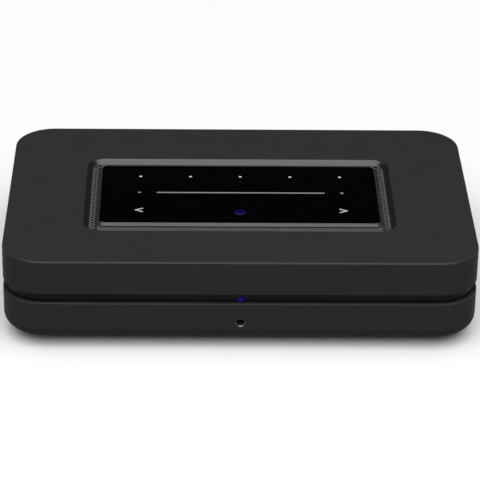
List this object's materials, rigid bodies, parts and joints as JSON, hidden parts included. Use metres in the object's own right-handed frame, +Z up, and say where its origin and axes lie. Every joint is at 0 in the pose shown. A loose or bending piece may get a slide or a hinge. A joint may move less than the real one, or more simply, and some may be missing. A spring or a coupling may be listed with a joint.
{
  "type": "network music streamer",
  "caption": "Low rounded box that plays music over a network, with a recessed touch panel on top, front headphone socket and rear signal sockets.",
  "frame": {"origin": "middle of the overall footprint, on the surface that the feet stand on", "axes": "+X to the right seen from the front, +Y to the rear, +Z up"},
  "size_m": [0.22, 0.146, 0.0462],
  "materials": {
    "casing": "fine matt black",
    "band": "smooth dark, lets infra-red through",
    "dark_steel": "matt black powder coat",
    "rubber": "matt black",
    "screw_steel": "dark zinc",
    "grille_steel": "satin dark grey",
    "frame_plastic": "satin black",
    "touch_glass": "black-backed polished glass",
    "board_green": "solder mask",
    "clear_plastic": "frosted clear",
    "plated_steel": "tin plate",
    "sheet_plastic": "film",
    "socket_plastic": "moulded black",
    "blue_light": "clear blue",
    "chip_plastic": "moulded epoxy",
    "gold_plate": "bright plate",
    "insert_plastic": "moulded",
    "ferrite": "sintered",
    "tape": "yellow tape",
    "can_sleeve": "shrunk sleeve",
    "sink_aluminium": "plain extruded",
    "pad_rubber": "soft grey"
  },
  "bodies": {
    "casing": {"top_cover": "casing", "bottom_shell": "casing", "waist_band": "band", "base_plate": "dark_steel", "rubber_feet": "rubber", "case_screws": "screw_steel", "vent_grille": "grille_steel", "panel_frame": "frame_plastic", "touch_glass": "touch_glass", "touch_board": "board_green", "light_guides": "clear_plastic", "panel_clips": "plated_steel", "inner_screws": "screw_steel", "main_board": "board_green", "power_board": "board_green", "insulation_sheet": "sheet_plastic", "flat_cables": "sheet_plastic", "cable_sockets": "socket_plastic", "front_board": "board_green", "status_light": "blue_light", "remote_receiver": "chip_plastic", "headphone_jack": "socket_plastic", "rear_jacks": "socket_plastic", "phono_blocks": "socket_plastic", "phono_barrels": "gold_plate", "phono_inserts": "insert_plastic", "phono_contacts": "gold_plate", "optical_socket": "socket_plastic", "shutter_pin": "screw_steel", "shutter_spring": "screw_steel", "usb_shell": "plated_steel", "socket_tongues": "insert_plastic", "video_shell": "plated_steel", "ethernet_port": "plated_steel", "ethernet_contacts": "gold_plate", "mains_inlet": "socket_plastic", "inlet_pins": "plated_steel", "rear_panel": "dark_steel", "power_panel": "dark_steel", "rear_screws": "screw_steel", "transformer_core": "ferrite", "transformer_winding": "tape", "bulk_capacitor": "can_sleeve", "output_capacitors": "can_sleeve", "line_choke": "ferrite", "fuse": "plated_steel", "fuse_clips": "plated_steel", "rectifier_sink": "sink_aluminium", "power_link": "insert_plastic", "processor": "chip_plastic", "thermal_pad": "pad_rubber", "heat_sink": "sink_aluminium", "memory_chips": "chip_plastic", "radio_module": "plated_steel", "sound_converter": "chip_plastic", "clock_crystals": "plated_steel", "sound_capacitors": "can_sleeve", "antennas": "sheet_plastic"},
    "shutter": {"optical_shutter": "frame_plastic"}
  },
  "joints": [
    {"name": "shutter_swing", "type": "hinge", "parent": "casing", "child": "shutter", "pos_m": [-0.021, 0.06318, 0.022], "axis": [-1, 0, 0], "range_deg": [0, 85], "stiffness_Nm_per_rad": 0.0003, "springref_deg": -17.19}
  ]
}
